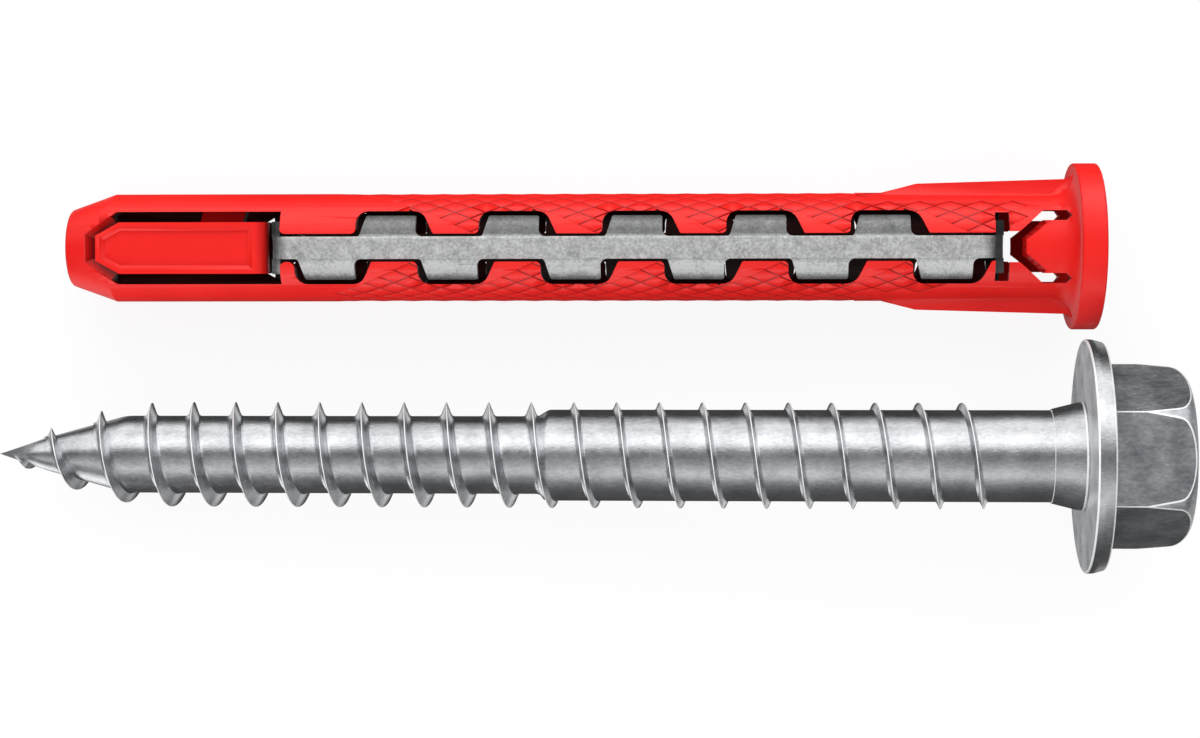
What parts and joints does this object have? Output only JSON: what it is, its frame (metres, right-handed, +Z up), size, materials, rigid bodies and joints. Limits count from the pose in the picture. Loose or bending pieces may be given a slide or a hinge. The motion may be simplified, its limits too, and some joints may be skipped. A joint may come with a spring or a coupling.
{
  "type": "frame fixing",
  "caption": "Frame fixing laid out as a set: collared plastic expansion sleeve with a zig-zag opening and interlocking steel strips, and a hex flange screw with a coarse thread.",
  "frame": {"origin": "on the ground, under the middle of the set's bounding box", "axes": "+X runs from the tips to the collar and head, +Y from the screw to the sleeve, +Z up"},
  "size_m": [0.11, 0.0376, 0.0214],
  "materials": {
    "red_nylon": "satin moulded",
    "galvanised_strip": "galvanised, mottled",
    "zinc_plated_screw": "bright zinc plating"
  },
  "bodies": {
    "root": {"sleeve": "red_nylon", "upper_expansion_strip": "galvanised_strip", "lower_expansion_strip": "galvanised_strip", "screw": "zinc_plated_screw"}
  },
  "joints": []
}
